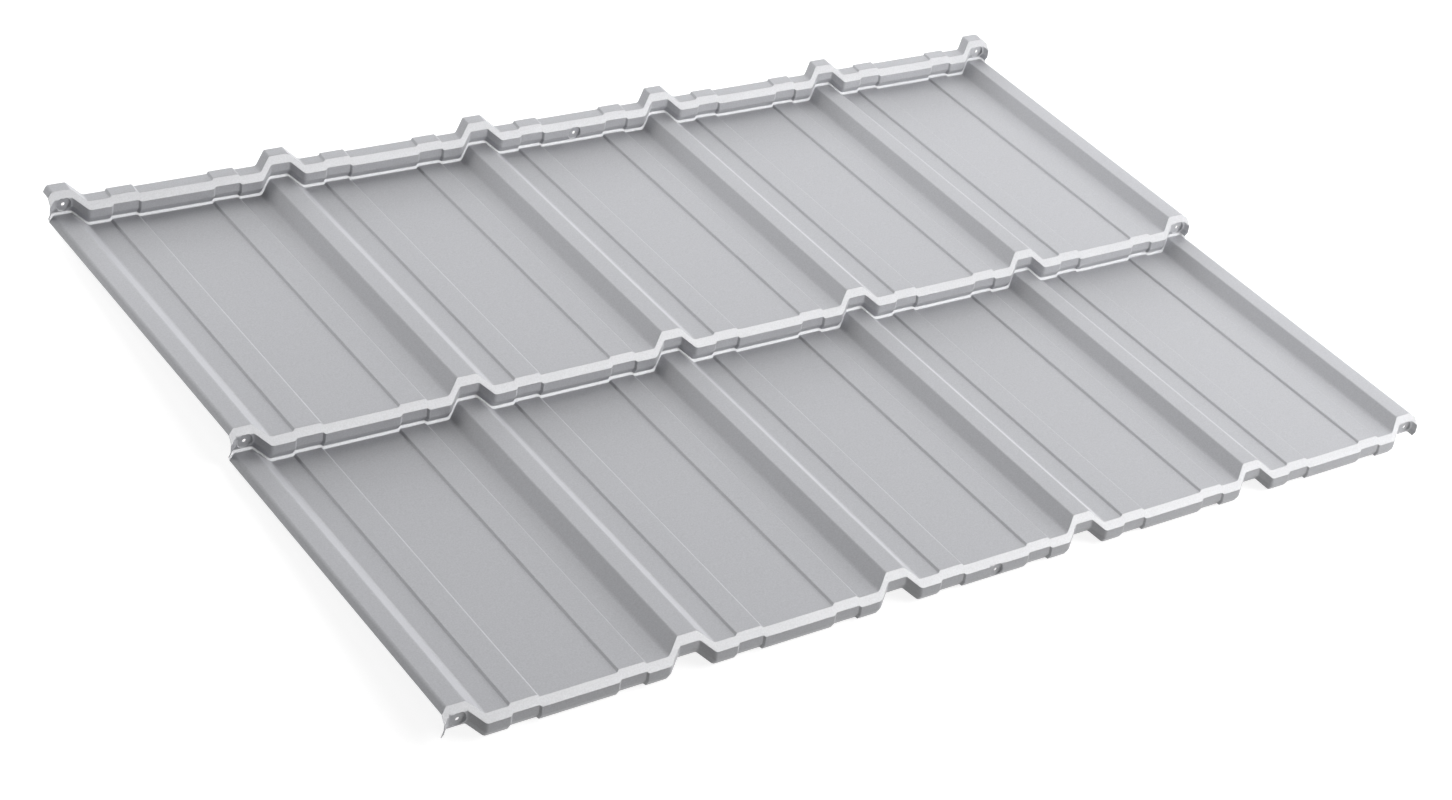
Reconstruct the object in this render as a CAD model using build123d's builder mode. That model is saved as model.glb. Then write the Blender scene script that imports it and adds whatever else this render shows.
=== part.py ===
from build123d import *
import math
import os

# A two-row roof tile sheet pressed from one piece of thin coated steel, in millimetres.
# X runs across the slope, Y up the slope and Z up; the origin is on the floor under the middle of the sheet.
sheet_thickness = 0.5
rib_count = 6
rib_pitch = 226
row_count = 2
row_length = 350

# Cross profile: flat-topped ribs, and two low bands in each pan between them.
rib_height = 9
rib_top_width = 20.5
rib_side_run = 13
band_height = 1.3
band_slope_run = 3.4
band_width = 28
band_from_rib = 60.5

# The edge ribs are cut short and end in rounded lips that lap with the neighbouring sheets.
left_edge_top = 8.3
left_lip_run = 5.3
right_edge_top = 10.2
right_lip_run = 5.8
lip_drop = 3.8
lip_bend_radius = 6

# Long section of a step: a chamfered nose, a riser, a curl drawn in under it, then the foot of the next row.
flange_length = 11
chamfer_run = 6.5
chamfer_drop = 5.5
riser_run = 1.6
riser_height = 8.1
curl_run = 2
curl_drop = 5.5
foot_run = 2.1
foot_drop = 2.1

# Round screw seats pressed into the risers: two on the edge ribs of every step, one in the middle pan of the
# front and the back step; each has a hole through it.
seat_diameter = 15
seat_depth = 1.8
seat_below_crest = 11.2
seat_from_rib = 1.5
screw_hole_diameter = 3.5
pan_seat_steps = (0, row_count)
pan_seat_rib = 2

# The outer and the inner form of the sheet go this deep; the inner one reaches past it by the overrun.
form_depth = 60
overrun = 4

cover_width = rib_pitch * (rib_count - 1)
left_reach = left_edge_top + left_lip_run
right_reach = right_edge_top + right_lip_run
first_rib_x = -(cover_width + right_reach - left_reach) / 2
nose_drop = chamfer_drop + riser_height + curl_drop
nose_reach = chamfer_run + riser_run
step_drop = nose_drop + foot_drop
row_angle = math.atan2(step_drop, row_length - nose_reach + curl_run - foot_run)
foot_angle = math.atan2(foot_drop, foot_run)
foot_share = math.cos((foot_angle - row_angle) / 2) / math.cos((foot_angle + row_angle) / 2)
pan_z = step_drop + sheet_thickness * foot_share

# Ribs and bands stand back from the pans as they rise, so the chamfer is one plane right across the sheet.
setback_share = chamfer_run / chamfer_drop
slant_share = math.hypot(chamfer_run, chamfer_drop) / chamfer_drop
nose_plane = Plane(origin=(0, 0, pan_z), x_dir=(1, 0, 0), z_dir=(0, -chamfer_drop, chamfer_run))
rib_setback = rib_height * setback_share
front_crest_y = (nose_reach - flange_length - rib_setback - row_count * row_length) / 2


def inset(depth, drop, run):
    """How far a slope this deep in the sheet stands in from the outer slope, the flats being level."""
    return depth * math.tan(math.atan2(drop, run) / 2)


def profile_bends(depth, extra):
    """Bends of the cross profile from left to right: x, height and outer bend radius, nought where sharp."""
    side = inset(depth, rib_height, rib_side_run)
    band = inset(depth, band_height, band_slope_run)
    left_lip = inset(depth, lip_drop, left_lip_run)
    right_lip = inset(depth, lip_drop, right_lip_run)
    half_top = rib_top_width / 2 - side
    half_foot = half_top + rib_side_run
    half_crown = (band_width - band_slope_run) / 2 - band
    half_base = half_crown + band_slope_run
    edge_run = left_lip_run + left_lip + extra
    edge_x = first_rib_x - left_edge_top + left_lip
    bends = [(edge_x - edge_run, rib_height - edge_run * lip_drop / left_lip_run, 0)]
    bends.append((edge_x, rib_height, lip_bend_radius))
    for rib in range(rib_count - 1):
        x = first_rib_x + rib * rib_pitch
        bends.append((x + half_top, rib_height, 0))
        bends.append((x + half_foot, 0, 0))
        for band_x in (x + band_from_rib, x + rib_pitch - band_from_rib):
            bends.append((band_x - half_base, 0, 0))
            bends.append((band_x - half_crown, band_height, 0))
            bends.append((band_x + half_crown, band_height, 0))
            bends.append((band_x + half_base, 0, 0))
        bends.append((x + rib_pitch - half_foot, 0, 0))
        bends.append((x + rib_pitch - half_top, rib_height, 0))
    edge_run = right_lip_run + right_lip + extra
    edge_x = first_rib_x + cover_width + right_edge_top - right_lip
    bends.append((edge_x, rib_height, lip_bend_radius))
    bends.append((edge_x + edge_run, rib_height - edge_run * lip_drop / right_lip_run, 0))
    return bends


def profile_path(depth, extra):
    """The cross profile on the plane of the chamfer, with its lips rounded."""
    bends = profile_bends(depth, extra)
    with BuildLine(nose_plane) as path:
        Polyline(*[(x, height * slant_share) for x, height, radius in bends])
        for x, height, radius in bends:
            if radius > 0:
                bend = nose_plane.from_local_coords((x, height * slant_share, 0))
                fillet(path.vertices().sort_by_distance(bend)[0], radius=radius - depth)
    return path.wire()


def step_section(depth, extra):
    """The section from the back flange down the steps to the front curl, closed under the sheet."""
    start_x, start_height, _ = profile_bends(depth, extra)[0]
    start_y = front_crest_y + start_height * setback_share
    start_z = pan_z + start_height
    back_y = start_y + row_count * row_length + flange_length + extra
    points = [(back_y, start_z)]
    for step in range(row_count, -1, -1):
        crest_y = start_y + step * row_length
        heel_y = crest_y - nose_reach
        points.append((crest_y, start_z))
        points.append((crest_y - chamfer_run, start_z - chamfer_drop))
        points.append((heel_y, start_z - chamfer_drop - riser_height))
        points.append((heel_y + curl_run, start_z - nose_drop))
        if step > 0:
            points.append((heel_y + curl_run - foot_run, start_z - step_drop))
        elif extra > 0:
            points.append((heel_y + curl_run - extra, start_z - nose_drop))
    points.append((points[-1][0], start_z - form_depth - extra))
    points.append((back_y, start_z - form_depth - extra))
    with BuildSketch(Plane.YZ.offset(start_x)) as section:
        with BuildLine():
            Polyline(*points, close=True)
        make_face()
        if depth > 0:
            offset(amount=-depth, kind=Kind.INTERSECTION, mode=Mode.REPLACE)
    return section.sketch


def seat_places(depth):
    """Centres of the seat floors on a face this deep in the sheet."""
    riser_share = (seat_below_crest - chamfer_drop) / riser_height
    floor_y = front_crest_y - chamfer_run - riser_run * riser_share + seat_depth + depth
    pan_seat_x = first_rib_x + (pan_seat_rib + 1 / 2) * rib_pitch
    places = []
    for step in range(row_count + 1):
        y = floor_y + step * row_length
        for rib_x in (first_rib_x, first_rib_x + cover_width):
            places.append((rib_x + seat_from_rib, y + rib_setback, pan_z + rib_height - seat_below_crest))
        if step in pan_seat_steps:
            places.append((pan_seat_x, y, pan_z - seat_below_crest))
    return places


with BuildPart() as inner_form:
    inner_path = profile_path(sheet_thickness, overrun)
    sweep(step_section(sheet_thickness, overrun), path=inner_path, normal=(1, 0, 0))
    with Locations(*seat_places(sheet_thickness)):
        Cylinder(seat_diameter / 2 + sheet_thickness, seat_depth + overrun, rotation=(90, 0, 0),
                 align=(Align.CENTER, Align.CENTER, Align.MIN), mode=Mode.SUBTRACT)

with BuildPart() as roof_tile_sheet:
    sweep(step_section(0, 0), path=profile_path(0, 0), normal=(1, 0, 0))
    with Locations(*seat_places(0)):
        Cylinder(seat_diameter / 2, seat_depth + overrun, rotation=(90, 0, 0),
                 align=(Align.CENTER, Align.CENTER, Align.MIN), mode=Mode.SUBTRACT)
    add(inner_form.part, mode=Mode.SUBTRACT)
    with Locations(*seat_places(0)):
        Cylinder(screw_hole_diameter / 2, overrun, rotation=(90, 0, 0), mode=Mode.SUBTRACT)
roof_tile_sheet.part.label = "roof_tile_sheet"

os.makedirs("parts", exist_ok=True)
export_step(roof_tile_sheet.part, "parts/roof_tile_sheet.step")
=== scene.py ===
import math

import bpy
import numpy as np
from mathutils import Matrix, Vector


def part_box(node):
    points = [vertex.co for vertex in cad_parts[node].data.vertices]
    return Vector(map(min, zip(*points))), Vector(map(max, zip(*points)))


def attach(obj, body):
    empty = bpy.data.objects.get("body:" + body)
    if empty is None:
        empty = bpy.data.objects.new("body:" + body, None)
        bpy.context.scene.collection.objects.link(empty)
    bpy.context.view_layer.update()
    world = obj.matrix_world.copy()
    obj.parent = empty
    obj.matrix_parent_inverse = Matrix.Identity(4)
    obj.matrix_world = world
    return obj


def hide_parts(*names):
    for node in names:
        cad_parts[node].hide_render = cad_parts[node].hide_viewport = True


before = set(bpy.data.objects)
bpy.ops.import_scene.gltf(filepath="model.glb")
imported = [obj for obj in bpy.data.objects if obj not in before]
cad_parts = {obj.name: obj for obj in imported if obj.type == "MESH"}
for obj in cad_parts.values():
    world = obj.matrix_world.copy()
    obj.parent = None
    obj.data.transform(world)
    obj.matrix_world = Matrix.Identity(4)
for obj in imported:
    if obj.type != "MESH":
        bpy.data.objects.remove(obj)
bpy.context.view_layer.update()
node = "roof_tile_sheet"
node_low, node_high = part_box(node)

# Sizes of the sheet in millimetres; the mesh is written in metres.
millimetre = 0.001
sheet_thickness = 0.5
rib_count = 6
rib_pitch = 226
row_count = 2
row_length = 350

# Cross profile: flat-topped ribs, two low bands in each pan, and a rounded lip at each side edge.
rib_height = 9
rib_top_width = 20.5
rib_side_run = 13
crown_radius = 4
rib_foot_radius = 7
band_height = 1.33
band_slope_run = 2.1
band_width = 27.6
band_from_rib = 60.5
band_radius = 0.5
left_edge_top = 8.3
left_lip_run = 5.3
right_edge_top = 10.2
right_lip_run = 5.8
lip_drop = 3.8
lip_radius = 6
lip_trim = 0.4

# Long section of a step, from the crest down to the foot of the next row.
flange_length = 11
chamfer_run = 6.5
chamfer_drop = 5.5
riser_run = 1.6
riser_height = 8.1
curl_run = 2
curl_drop = 5.5
foot_run = 2.1
foot_drop = 2.1
crest_radius = 0.8
nose_radius = 0.8
curl_radius = 3
fold_radius = 0.7

# Round screw seats in the risers.
seat_radius = 7.5
seat_depth = 1.8
seat_wall = 0.9
seat_below_crest = 11.2
seat_from_rib = 1.5
hole_radius = 1.75
pan_seat_rib = 2
pan_seat_steps = (0, row_count)

# Each seat is let into a window in the grid of the sheet, from just under the crest to just above the fold.
window_half_width = 9
window_columns = 16
window_top = 0.4
window_bottom = 18.67
window_column_gap = 0.2
window_margin = 0.1
window_steepness = 0.3
nose_margin = 1

# Rings of a seat: radii on its floor, shares of its wall, and shares of the way from its rim to the window.
# They keep to the fill share of a narrow window, and slopes are read across the slope gap.
floor_radii = (hole_radius, hole_radius + 0.5, 3.2, 5)
wall_shares = (1.3, 1, 0.8, 0.6, 0.4, 0.2, 0)
rim_radius = seat_radius + 0.15
rim_shares = (0.25, 0.5, 0.75)
window_fill_share = 0.97
slope_gap = 0.05

# Extra rows on the straight stretches of a nose, as shares of each stretch.
chamfer_rows = (0.12, 0.37, 0.62)
riser_rows = (0.25, 0.5, 0.75)
curl_rows = (0.45, 0.7, 0.92)

# Places in the part's frame, in millimetres.
cover_width = rib_pitch * (rib_count - 1)
half_top = rib_top_width / 2
half_foot = half_top + rib_side_run
first_rib_x = node_low.x / millimetre + left_edge_top + left_lip_run
nose_reach = chamfer_run + riser_run
front_crest_y = node_low.y / millimetre + nose_reach
pan_z = node_high.z / millimetre - rib_height
nose_drop = chamfer_drop + riser_height + curl_drop
step_drop = nose_drop + foot_drop
pan_seat_x = first_rib_x + (pan_seat_rib + 1 / 2) * rib_pitch

# Ribs and bands stand back from the pans as they rise, so the chamfer is one plane right across the sheet.
setback_share = chamfer_run / chamfer_drop

# Coat of the steel: a fine grain in colour and relief, and slow clouds in its gloss.
coat_dark = (0.388, 0.392, 0.414, 1)
coat_light = (0.463, 0.468, 0.494, 1)
coat_specular = 1
coat_index = 1.6
coat_roughness = (0.31, 0.39)
grain_scale = 700
grain_detail = 3
grain_roughness = 0.7
grain_range = (0.34, 0.66)
grain_strength = 0.25
grain_relief = 0.0001
cloud_scale = 9
cloud_detail = 2

# Floor, in metres, and the white that it and the surroundings show.
floor_reach = 30
floor_grey = (0.35, 0.35, 0.35, 1)
floor_roughness = 0.9
floor_glow = 0.85
white = (1, 1, 1, 1)

# Camera of the photograph, fitted to the corners of the ribs: metres, a direction, degrees and millimetres.
camera_place = (-1.6470, -1.5542, 1.5599)
camera_way = (0.58539, 0.55846, -0.58774)
camera_roll = 17.765
camera_lens = 70.852
camera_sensor = 36

# Studio, in metres and watts: place, width and power of each soft light. The glints and the key lights
# stand in two rows of three where the chamfers mirror them to the camera; the glints are only mirrored.
# The fill lights shine in low from the sides and from behind, and are not mirrored.
glint_lights = {
    "front_left": ((0.8, -1.95, 1.8), 0.8, 13.5),
    "upper_left": ((0.6, -1.0, 2.2), 0.8, 14),
}
key_lights = {
    "front_middle": ((1.7, -1.8, 1.6), 0.8, 14.5),
    "front_right": ((2.6, -1.6, 1.4), 0.8, 11.5),
    "upper_middle": ((1.5, -0.85, 2.0), 0.8, 13),
    "upper_right": ((2.4, -0.75, 1.8), 0.8, 10),
}
fill_lights = {
    "front": ((2.6, -2.4, 0.7), 1.2, 20),
    "right_front": ((3.0, -0.7, 0.7), 1.2, 32),
    "right_back": ((3.0, 1.1, 0.7), 1.2, 42),
    "side": ((2.6, 2.0, 0.8), 1.2, 8),
    "back_right": ((2.2, 2.8, 1.5), 1.0, 12),
    "back": ((0.5, 2.9, 1.5), 1.0, 32),
    "low_back": ((0.2, 3.4, 0.55), 1.0, 110),
    "back_left": ((-1.1, 1.9, 2.05), 1.0, 11),
    "left_side": ((-2.4, 1.4, 0.7), 1.0, 20),
}

# Largest turn between points on a bend, for reading the shape and for the mesh, and the least bend.
fine_turn = math.radians(2)
mesh_turn = math.radians(14)
straight_turn = math.radians(0.01)


def rounded(bends, largest_turn):
    """Points and directions along a bent line whose bends are given as two coordinates and a radius."""
    corners = [Vector(bend[:2]) for bend in bends]
    points = [corners[0]]
    directions = [(corners[1] - corners[0]).normalized()]
    for before, here, after, bend in zip(corners, corners[1:], corners[2:], bends[1:]):
        inward = (here - before).normalized()
        outward = (after - here).normalized()
        turn = math.atan2(inward.x * outward.y - inward.y * outward.x, inward.dot(outward))
        radius = bend[2]
        if abs(turn) < straight_turn:
            points.append(here)
            directions.append(inward)
            continue
        start = here - inward * radius * math.tan(abs(turn) / 2)
        side = Vector((-inward.y, inward.x)) * math.copysign(1, turn)
        steps = math.ceil(abs(turn) / largest_turn)
        for step in range(steps + 1):
            angle = abs(turn) * step / steps
            points.append(start + radius * (inward * math.sin(angle) + side * (1 - math.cos(angle))))
            directions.append(inward * math.cos(angle) + side * math.sin(angle))
    points.append(corners[-1])
    directions.append((corners[-1] - corners[-2]).normalized())
    return np.array(points), np.array(directions)


def profile_bends():
    """Bends of the cross profile from left to right: x, height above the pans and radius."""
    x = first_rib_x - left_edge_top
    run = left_lip_run - lip_trim
    bends = [(x - run, rib_height - run * lip_drop / left_lip_run, 0), (x, rib_height, lip_radius)]
    half_base = (band_width + band_slope_run) / 2
    half_crown = (band_width - band_slope_run) / 2
    for rib in range(rib_count - 1):
        x = first_rib_x + rib * rib_pitch
        bends.append((x + half_top, rib_height, crown_radius))
        bends.append((x + half_foot, 0, rib_foot_radius))
        for band_x in (x + band_from_rib, x + rib_pitch - band_from_rib):
            bends.append((band_x - half_base, 0, band_radius))
            bends.append((band_x - half_crown, band_height, band_radius))
            bends.append((band_x + half_crown, band_height, band_radius))
            bends.append((band_x + half_base, 0, band_radius))
        bends.append((x + rib_pitch - half_foot, 0, rib_foot_radius))
        bends.append((x + rib_pitch - half_top, rib_height, crown_radius))
    x = first_rib_x + cover_width + right_edge_top
    run = right_lip_run - lip_trim
    bends.append((x, rib_height, lip_radius))
    bends.append((x + run, rib_height - run * lip_drop / right_lip_run, 0))
    return bends


def between(start, end, shares):
    """Points on a straight stretch at these shares of it, without a bend."""
    return [tuple(Vector(start).lerp(Vector(end), share)) + (0,) for share in shares]


def nose_bends(crest_y):
    """Bends of one step from its crest to the end of its curl: y, height and radius."""
    crest = (crest_y, 0)
    nose = (crest_y - chamfer_run, -chamfer_drop)
    heel = (nose[0] - riser_run, nose[1] - riser_height)
    fold = (heel[0] + curl_run, -nose_drop)
    bends = [crest + (crest_radius,)]
    bends += between(crest, nose, chamfer_rows)
    bends += [nose + (nose_radius,)]
    bends += between(nose, heel, riser_rows)
    bends += [heel + (curl_radius,)]
    bends += between(heel, fold, curl_rows)
    bends += [fold + (fold_radius,)]
    return bends


def section_bends():
    """Bends of the long section from the back flange to the front curl."""
    back_crest_y = front_crest_y + row_count * row_length
    bends = [(back_crest_y + flange_length, 0, 0)]
    for step in range(row_count, -1, -1):
        crest_y = front_crest_y + step * row_length
        bends += nose_bends(crest_y)
        if step > 0:
            bends.append((crest_y - nose_reach + curl_run - foot_run, -step_drop, fold_radius))
    return bends


def seat_places():
    """The seats as x of the centre, step and height of the crest above the pans."""
    places = []
    for step in range(row_count + 1):
        places.append((first_rib_x + seat_from_rib, step, rib_height))
        places.append((first_rib_x + cover_width + seat_from_rib, step, rib_height))
        if step in pan_seat_steps:
            places.append((pan_seat_x, step, 0))
    return places


class Sheet:
    """The pressed sheet as two skins of vertices with the seats let into them."""

    def __init__(self):
        self.vertices = []
        self.normals = []
        self.faces = []
        self.flat_faces = []
        self.profile, self.profile_ways = rounded(profile_bends(), fine_turn)
        columns = rounded(profile_bends(), mesh_turn)[0][:, 0]
        for seat_x in sorted({x for x, step, top in seat_places()}):
            columns = columns[abs(columns - seat_x) > window_half_width + window_column_gap]
            window = np.linspace(-window_half_width, window_half_width, window_columns + 1)
            columns = np.sort(np.append(columns, seat_x + window))
        self.columns = columns
        self.section, self.section_ways = rounded(section_bends(), mesh_turn)
        nose_end = (0, -nose_drop - nose_margin, 0)
        nose = rounded([(row_length, 0, 0)] + nose_bends(0) + [nose_end], fine_turn)[0]
        falling = np.concatenate(([True], np.diff(nose[:, 1]) < 0))
        self.nose = nose[falling & (nose[:, 1] > -nose_drop)][::-1]

    def height(self, x):
        """Height of the cross profile above the pans."""
        return np.interp(x, self.profile[:, 0], self.profile[:, 1])

    def slope(self, x):
        """Slope of the cross profile."""
        ways = [np.interp(x, self.profile[:, 0], self.profile_ways[:, axis]) for axis in (0, 1)]
        return ways[1] / ways[0]

    def skins(self):
        """The outer and the inner skin as a grid over the profile and the section."""
        height = self.height(self.columns)
        slope = self.slope(self.columns)
        x = self.columns[:, None]
        y = self.section[None, :, 0] + setback_share * height[:, None]
        z = self.section[None, :, 1] + height[:, None] + pan_z
        place = np.stack(np.broadcast_arrays(x, y, z), axis=-1)
        across = np.stack([np.ones_like(slope), setback_share * slope, slope], axis=-1)
        along = np.concatenate([np.zeros((len(self.section), 1)), self.section_ways], axis=1)
        normal = np.cross(along[None, :, :], across[:, None, :])
        normal /= np.linalg.norm(normal, axis=-1, keepdims=True)
        self.outer = self.add(place, normal)
        self.inner = self.add(place - sheet_thickness * normal, -normal)
        windows = self.windows()
        for column in range(len(self.columns) - 1):
            for row in range(len(self.section) - 1):
                if any(left <= column < right and first <= row < last
                       for left, right, first, last in windows):
                    continue
                self.quad(self.outer, column, row)
                self.quad(self.inner, column, row, turned=True)
        self.rims()
        for (x, step, top), window in zip(seat_places(), windows):
            self.seat(x, step, top, window)

    def add(self, place, normal):
        """Adds vertices and gives their numbers in the same arrangement."""
        first = len(self.vertices)
        self.vertices += place.reshape(-1, 3).tolist()
        self.normals += normal.reshape(-1, 3).tolist()
        return first + np.arange(place[..., 0].size).reshape(place.shape[:-1])

    def quad(self, skin, column, row, turned=False):
        """One face of a skin, its outer side up the profile's own normal."""
        loop = [skin[column, row], skin[column, row + 1], skin[column + 1, row + 1], skin[column + 1, row]]
        self.faces.append(loop[::-1] if turned else loop)

    def rims(self):
        """The cut edge all round, as thick as the sheet."""
        runs = [(self.outer[0], self.inner[0]), (self.outer[-1][::-1], self.inner[-1][::-1])]
        runs += [(self.outer[::-1, 0], self.inner[::-1, 0]), (self.outer[:, -1], self.inner[:, -1])]
        for outer, inner in runs:
            for step in range(len(outer) - 1):
                self.flat_faces.append([outer[step + 1], outer[step], inner[step], inner[step + 1]])

    def windows(self):
        """The block of grid cells that each seat takes the place of: left, right, first and last line."""
        blocks = []
        for x, step, top in seat_places():
            inside = np.flatnonzero(abs(self.columns - x) < window_half_width + window_margin)
            crest_y = front_crest_y + step * row_length
            near = abs(self.section[:, 0] - crest_y + nose_reach) < nose_reach + nose_margin
            low = (self.section[:, 1] < -window_top) & (self.section[:, 1] > -window_bottom)
            going_down = self.section_ways[:, 1] < -window_steepness
            rows = np.flatnonzero(near & low & going_down)
            blocks.append((inside[0], inside[-1], rows[0], rows[-1]))
        return blocks

    def nose_y(self, x, z, crest_y):
        """Where the nose of a step stands at this place across and up, without a seat."""
        height = self.height(x)
        nose = np.interp(z - pan_z - height, self.nose[:, 1], self.nose[:, 0])
        return crest_y + setback_share * height + nose

    def seat_y(self, x, z, seat):
        """The same with the seat pressed into it."""
        seat_x, seat_z, crest_y, floor_y = seat
        plain = self.nose_y(x, z, crest_y)
        reach = (seat_radius - np.hypot(x - seat_x, z - seat_z)) / seat_wall
        share = np.clip(reach, 0, 1)
        share = share * share * (3 - 2 * share)
        return plain + np.maximum(floor_y - plain, 0) * share

    def facing(self, surface, x, z):
        """Outward direction of a surface that is given as y over x and z."""
        slope_x = (surface(x + slope_gap, z) - surface(x - slope_gap, z)) / (2 * slope_gap)
        slope_z = (surface(x, z + slope_gap) - surface(x, z - slope_gap)) / (2 * slope_gap)
        way = np.stack([slope_x, -np.ones_like(slope_x), slope_z], axis=-1)
        return way / np.linalg.norm(way, axis=-1, keepdims=True)

    def window_edge(self, window):
        """The grid's spots round the edge of a window, as column and row."""
        left, right, first, last = window
        spots = [(left, row) for row in range(first, last)]
        spots += [(column, last) for column in range(left, right)]
        spots += [(right, row) for row in range(last, first, -1)]
        spots += [(column, first) for column in range(right, left, -1)]
        return spots

    def ring(self, near, far, faces):
        """Faces between two closed rings of equally many vertices."""
        count = len(near)
        for spoke in range(count):
            after = (spoke + 1) % count
            faces.append([near[spoke], near[after], far[after], far[spoke]])

    def seat(self, seat_x, step, top, window):
        """A seat as rings between its hole and the edge of its window."""
        crest_y = front_crest_y + step * row_length
        seat_z = pan_z + top - seat_below_crest
        riser_share = (seat_below_crest - chamfer_drop) / riser_height
        floor_y = crest_y + setback_share * top - chamfer_run - riser_run * riser_share + seat_depth
        seat = (seat_x, seat_z, crest_y, floor_y)
        spots = self.window_edge(window)
        edge_outer = np.array([self.outer[spot] for spot in spots])
        edge_inner = np.array([self.inner[spot] for spot in spots])
        edge = np.array([self.vertices[number] for number in edge_outer])
        edge_x, edge_z = edge[:, 0], edge[:, 2]
        angle = np.arctan2(edge_z - seat_z, edge_x - seat_x)
        wall_radii = [seat_radius - seat_wall * share for share in wall_shares]
        room = np.hypot(edge_x - seat_x, edge_z - seat_z) * window_fill_share - hole_radius
        squeeze = np.minimum(room / (rim_radius - hole_radius), 1)
        rings = []
        for radius in (*floor_radii, *wall_radii, rim_radius):
            reach = hole_radius + (radius - hole_radius) * squeeze
            rings.append((seat_x + reach * np.cos(angle), seat_z + reach * np.sin(angle)))
        rim_x, rim_z = rings[-1]
        for share in rim_shares:
            rings.append((rim_x + (edge_x - rim_x) * share, rim_z + (edge_z - rim_z) * share))
        outer_rings, inner_rings = [], []
        for x, z in rings:
            y = self.seat_y(x, z, seat)
            place = np.stack([x, y, z], axis=-1)
            normal = self.facing(lambda x, z: self.seat_y(x, z, seat), x, z)
            plain = self.facing(lambda x, z: self.nose_y(x, z, crest_y), x, z)
            outer_rings.append(self.add(place, normal))
            inner_rings.append(self.add(place - sheet_thickness * plain, -normal))
        outer_rings.append(edge_outer)
        inner_rings.append(edge_inner)
        for near, far in zip(outer_rings, outer_rings[1:]):
            self.ring(far, near, self.faces)
        for near, far in zip(inner_rings, inner_rings[1:]):
            self.ring(near, far, self.faces)
        self.ring(outer_rings[0], inner_rings[0], self.flat_faces)

    def build(self, name):
        """The Blender object, with smooth bends and crisp cut edges."""
        self.skins()
        mesh = bpy.data.meshes.new(name)
        mesh.from_pydata(np.array(self.vertices) * millimetre, [], self.faces + self.flat_faces)
        for polygon in mesh.polygons:
            polygon.use_smooth = True
        normals = []
        for polygon in mesh.polygons:
            for vertex in polygon.vertices:
                flat = polygon.index >= len(self.faces)
                normals.append(tuple(polygon.normal) if flat else self.normals[vertex])
        mesh.normals_split_custom_set(normals)
        item = bpy.data.objects.new(name, mesh)
        bpy.context.scene.collection.objects.link(item)
        return item


def link(tree, start, end):
    """Joins two sockets."""
    tree.links.new(start, end)


def coated_steel():
    """Matte light grey coat with a fine grain and faint unevenness."""
    material = bpy.data.materials.new("coated_steel")
    material.use_nodes = True
    tree = material.node_tree
    shader = tree.nodes["Principled BSDF"]
    shader.inputs["Specular IOR Level"].default_value = coat_specular
    shader.inputs["IOR"].default_value = coat_index
    place = tree.nodes.new("ShaderNodeTexCoord")
    grain = tree.nodes.new("ShaderNodeTexNoise")
    grain.inputs["Scale"].default_value = grain_scale
    grain.inputs["Detail"].default_value = grain_detail
    grain.inputs["Roughness"].default_value = grain_roughness
    cloud = tree.nodes.new("ShaderNodeTexNoise")
    cloud.inputs["Scale"].default_value = cloud_scale
    cloud.inputs["Detail"].default_value = cloud_detail
    for texture in (grain, cloud):
        link(tree, place.outputs["Object"], texture.inputs["Vector"])
    colour = tree.nodes.new("ShaderNodeValToRGB")
    for stop, share, shade in zip(colour.color_ramp.elements, grain_range, (coat_dark, coat_light)):
        stop.position = share
        stop.color = shade
    link(tree, grain.outputs["Fac"], colour.inputs["Fac"])
    link(tree, colour.outputs["Color"], shader.inputs["Base Color"])
    finish = tree.nodes.new("ShaderNodeMapRange")
    finish.inputs["To Min"].default_value = coat_roughness[0]
    finish.inputs["To Max"].default_value = coat_roughness[1]
    link(tree, cloud.outputs["Fac"], finish.inputs["Value"])
    link(tree, finish.outputs["Result"], shader.inputs["Roughness"])
    bump = tree.nodes.new("ShaderNodeBump")
    bump.inputs["Strength"].default_value = grain_strength
    bump.inputs["Distance"].default_value = grain_relief
    link(tree, grain.outputs["Fac"], bump.inputs["Height"])
    link(tree, bump.outputs["Normal"], shader.inputs["Normal"])
    return material


def seen_ray(tree):
    """One for rays from the camera and for mirrored and transmitted ones, nought for the others."""
    rays = tree.nodes.new("ShaderNodeLightPath")
    total = rays.outputs["Is Camera Ray"]
    for kind in ("Is Glossy Ray", "Is Transmission Ray"):
        either = tree.nodes.new("ShaderNodeMath")
        either.operation = "MAXIMUM"
        link(tree, total, either.inputs[0])
        link(tree, rays.outputs[kind], either.inputs[1])
        total = either.outputs["Value"]
    return total


def studio():
    """White surroundings, seen and mirrored but not lighting the sheet."""
    world = bpy.data.worlds.new("studio")
    bpy.context.scene.world = world
    world.use_nodes = True
    tree = world.node_tree
    background = tree.nodes["Background"]
    background.inputs["Color"].default_value = white
    link(tree, seen_ray(tree), background.inputs["Strength"])


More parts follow.
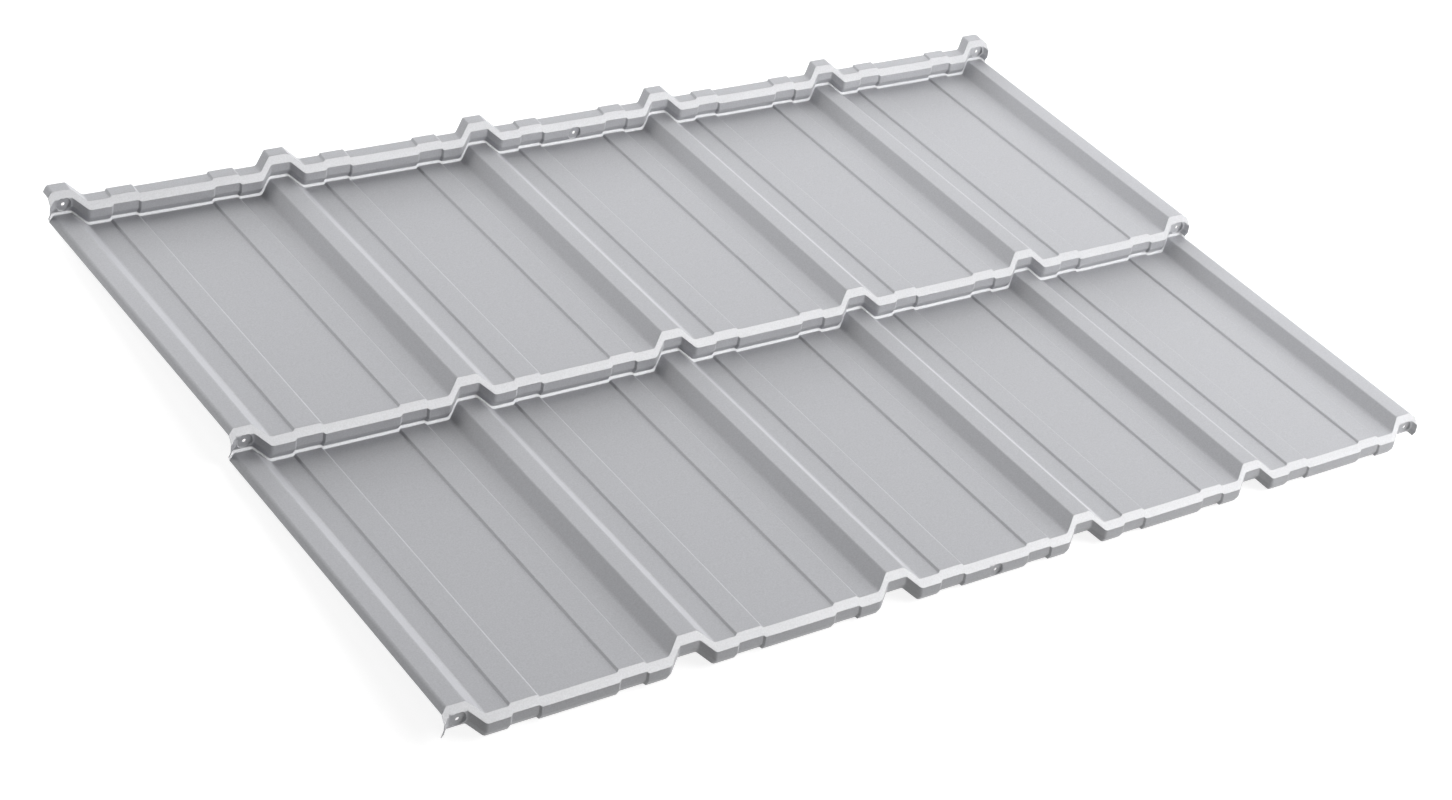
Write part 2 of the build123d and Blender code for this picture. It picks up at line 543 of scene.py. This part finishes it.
def softbox(name, place, width, power, mirrored=True, lighting=True):
    """A square soft light that faces the sheet, in its reflections, on its surface or both."""
    light = bpy.data.lights.new(name, "AREA")
    light.size = width
    light.energy = power
    item = bpy.data.objects.new(name, light)
    item.location = place
    item.rotation_mode = "QUATERNION"
    item.rotation_quaternion = Vector(place).to_track_quat("Z", "Y")
    item.visible_glossy = mirrored
    item.visible_diffuse = lighting
    bpy.context.scene.collection.objects.link(item)


def floor():
    """The plain pale floor under the sheet, which shows white but for the sheet's shadow."""
    mesh = bpy.data.meshes.new("floor")
    corners = [(-floor_reach, -floor_reach, 0), (floor_reach, -floor_reach, 0)]
    corners += [(floor_reach, floor_reach, 0), (-floor_reach, floor_reach, 0)]
    mesh.from_pydata(corners, [], [(0, 1, 2, 3)])
    item = bpy.data.objects.new("floor", mesh)
    material = bpy.data.materials.new("floor")
    material.use_nodes = True
    tree = material.node_tree
    shader = tree.nodes["Principled BSDF"]
    shader.inputs["Base Color"].default_value = floor_grey
    shader.inputs["Roughness"].default_value = floor_roughness
    glow = tree.nodes.new("ShaderNodeMath")
    glow.operation = "MULTIPLY"
    glow.inputs[1].default_value = floor_glow
    link(tree, seen_ray(tree), glow.inputs[0])
    shader.inputs["Emission Color"].default_value = white
    link(tree, glow.outputs["Value"], shader.inputs["Emission Strength"])
    mesh.materials.append(material)
    bpy.context.scene.collection.objects.link(item)


def camera():
    """The view of the photograph."""
    forward = Vector(camera_way).normalized()
    roll = math.radians(camera_roll)
    level = forward.cross(Vector((0, 0, 1))).normalized()
    above = level.cross(forward)
    right = level * math.cos(roll) + above * math.sin(roll)
    up = above * math.cos(roll) - level * math.sin(roll)
    data = bpy.data.cameras.new("camera")
    data.sensor_fit = "HORIZONTAL"
    data.sensor_width = camera_sensor
    data.lens = camera_lens
    item = bpy.data.objects.new("camera", data)
    turn = Matrix((right, up, -forward)).transposed()
    item.matrix_world = Matrix.Translation(camera_place) @ turn.to_4x4()
    bpy.context.scene.collection.objects.link(item)
    bpy.context.scene.camera = item


sheet = Sheet().build("pressed_sheet")
sheet.data.materials.append(coated_steel())
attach(sheet, "root")
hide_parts(node)
floor()
studio()
for name, light in glint_lights.items():
    softbox(name, *light, lighting=False)
for name, light in key_lights.items():
    softbox(name, *light)
for name, light in fill_lights.items():
    softbox(name, *light, mirrored=False)
camera()
bpy.context.scene.view_settings.view_transform = "Standard"
